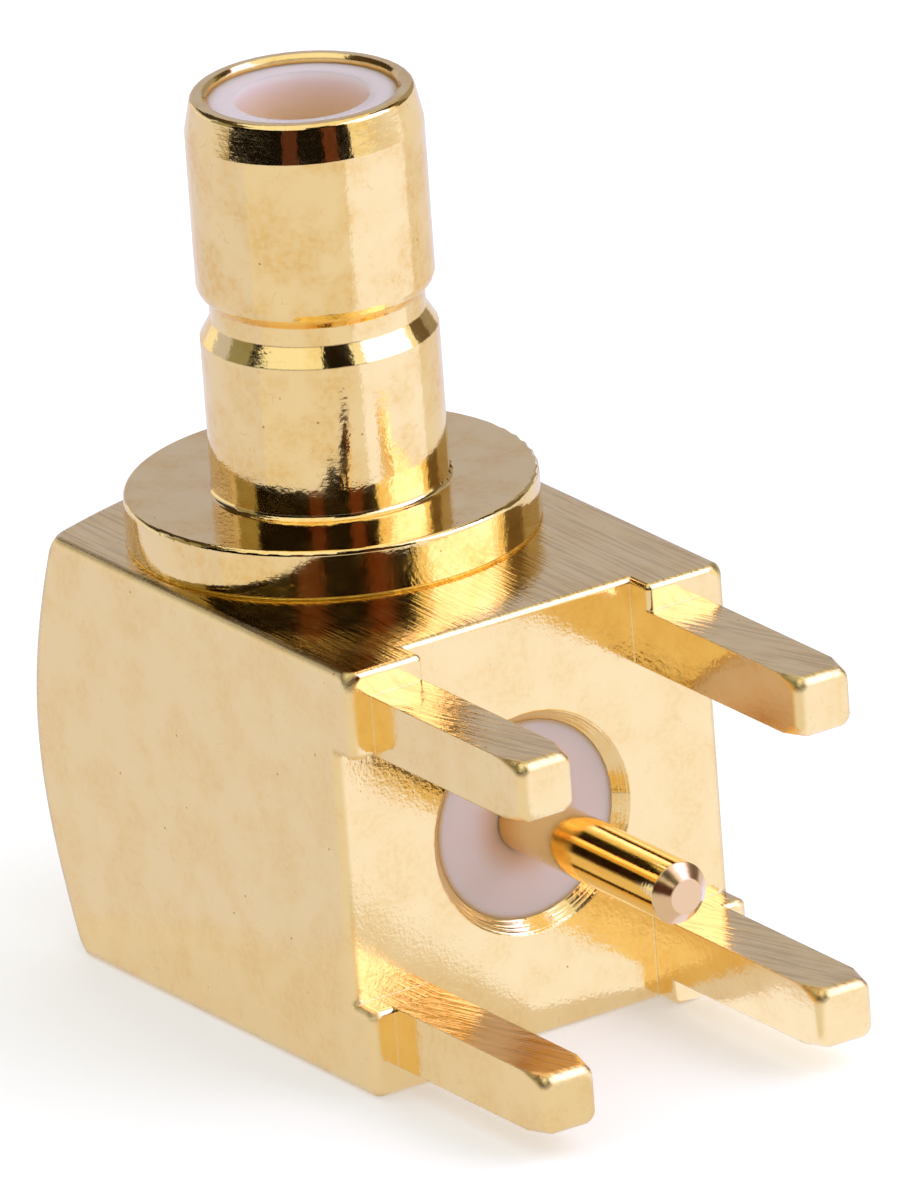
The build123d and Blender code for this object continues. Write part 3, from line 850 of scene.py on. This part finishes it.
front_look = (PTFE_IN_BARREL, (PTFE_PAINTED_MOUTH_SHADE, PTFE_PAINTED_WALL_LIGHT, PTFE_PAINTED_DEEP_GLOW), in_barrel, FRONT_RADIUS_MM, SOFT_MOUTH_MM)
ptfe_front = ptfe_finish("turned_ptfe_in_barrel", *front_look)
rear_look = (PTFE_ROUND_PIN, (PTFE_PAINTED_PIN_GLOW,), round_pin, REAR_RADIUS_MM, 0)
ptfe_rear = ptfe_finish("turned_ptfe_round_pin", *rear_look)
print("made", ptfe_front.name, "and", ptfe_rear.name)

# %% [markdown]
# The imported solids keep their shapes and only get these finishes, one for each way the real piece was made.
# New meshes could stand in for them, but the solids already have the right shape, so only their slots change.

# %% Finish each solid
FINISHES = {
    "body_block": gold_on_bar,
    "outer_contact": gold_turned,
    "front_insulator": ptfe_front,
    "rear_insulator": ptfe_rear,
    "centre_contact": gold_pin,
    "pcb_pin": gold_pin,
}
for name, material in FINISHES.items():
    for slot in nodes[name].material_slots:
        slot.material = material
    print(name, "gets", material.name)

# %% [markdown]
# Where the flange sits on the body, plating has built up in the joint and left a thin uneven bead of deeper gold.
# It is duller than on the open faces, and lumpy. Modelled lumps would need ten times the faces, so they are one noise
# in the colour, the gloss and the relief at once.

# %% Finish of the bead
SEAM_GOLD = "#FFD650"
SEAM_AMBER = "#E2A02E"
SEAM_LUMP_MM = 0.05
SEAM_RELIEF_MM = 0.01
SEAM_EDGES = (0.3, 0.7)
SEAM_ROUGHNESS = (0.28, 0.42)


def seam_finish():
    """Plating that has built up in the joint: deeper and duller than on the open faces, and lumpy."""
    material, tree = empty_material("plating_built_up_in_the_seam")
    place = place_in_mm(tree)
    lumps = add(tree, "ShaderNodeTexNoise", {"Vector": place, "Scale": 1 / SEAM_LUMP_MM, "Detail": 3.0}).outputs[0]
    colour = add(tree, "ShaderNodeMix", {0: lumps, 6: linear(SEAM_GOLD), 7: linear(SEAM_AMBER)}, **COLOUR_MIX)
    relief = add(tree, "ShaderNodeBump", {"Height": lumps, "Distance": SEAM_RELIEF_MM * MM})
    limits = {0: lumps, 1: SEAM_EDGES[0], 2: SEAM_EDGES[1], 3: SEAM_ROUGHNESS[0], 4: SEAM_ROUGHNESS[1]}
    gloss = add(tree, "ShaderNodeMapRange", limits, **EASED).outputs[0]
    metal = {"Base Color": colour.outputs[2], "Metallic": 1.0, "Roughness": gloss, "Normal": relief.outputs["Normal"]}
    shader = add(tree, "ShaderNodeBsdfPrincipled", metal)
    add(tree, "ShaderNodeOutputMaterial", {"Surface": shader.outputs[0]})
    return material


print("lumps in mm:", SEAM_LUMP_MM)

# %% [markdown]
# A torus with a Displace modifier could be the bead, but a ring of small circles, each swollen a little by noise,
# gives it in a few lines of bmesh and leaves no modifier. It lies in the corner that the flange's bevelled foot
# leaves open. The part is one rigid body, so the bead rides on that.

# %% Bead in the seam under the flange
SEAM_RADIUS_MM = 3.172
SEAM_HEIGHT_MM = 6.910
BEAD_RADIUS_MM = 0.032
BEAD_UNEVENNESS_MM = 0.014
BEAD_LUMP_MM = 0.16
BEAD_STEPS = 360
BEAD_SIDES = 8


def bead_ring(mesh, step):
    """One circle of the bead: its corners, round a point on the seam."""
    turn = math.tau * step / BEAD_STEPS
    out = Vector((math.cos(turn), math.sin(turn), 0))
    middle = out * SEAM_RADIUS_MM + UP * SEAM_HEIGHT_MM
    thick = BEAD_RADIUS_MM + BEAD_UNEVENNESS_MM * noise.noise(middle / BEAD_LUMP_MM)
    sides = [math.tau * side / BEAD_SIDES for side in range(BEAD_SIDES)]
    return [mesh.verts.new((middle + thick * (math.cos(side) * out + math.sin(side) * UP)) * MM) for side in sides]


def seam_bead():
    """A thin lumpy ring of metal round the foot of the flange."""
    mesh = bmesh.new()
    rings = [bead_ring(mesh, step) for step in range(BEAD_STEPS)]
    for i, ring in enumerate(rings):
        beside = rings[(i + 1) % BEAD_STEPS]
        for j in range(BEAD_SIDES):
            k = (j + 1) % BEAD_SIDES
            mesh.faces.new((ring[j], beside[j], beside[k], ring[k])).smooth = True
    data = bpy.data.meshes.new("seam_bead")
    mesh.normal_update()
    mesh.to_mesh(data)
    mesh.free()
    data.materials.append(seam_finish())
    bead = bpy.data.objects.new("seam_bead", data)
    bpy.context.scene.collection.objects.link(bead)
    return bead


bead = seam_bead()
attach(bead, "root")
print("seam bead faces:", len(bead.data.polygons))

# %% [markdown]
# The last cell sets the view transform. The Standard view transform shows each colour as it is written.
# A filmic one would hold back the brightest gold, but it greys the white paper.

# %% View transform
bpy.context.scene.view_settings.view_transform = "Standard"
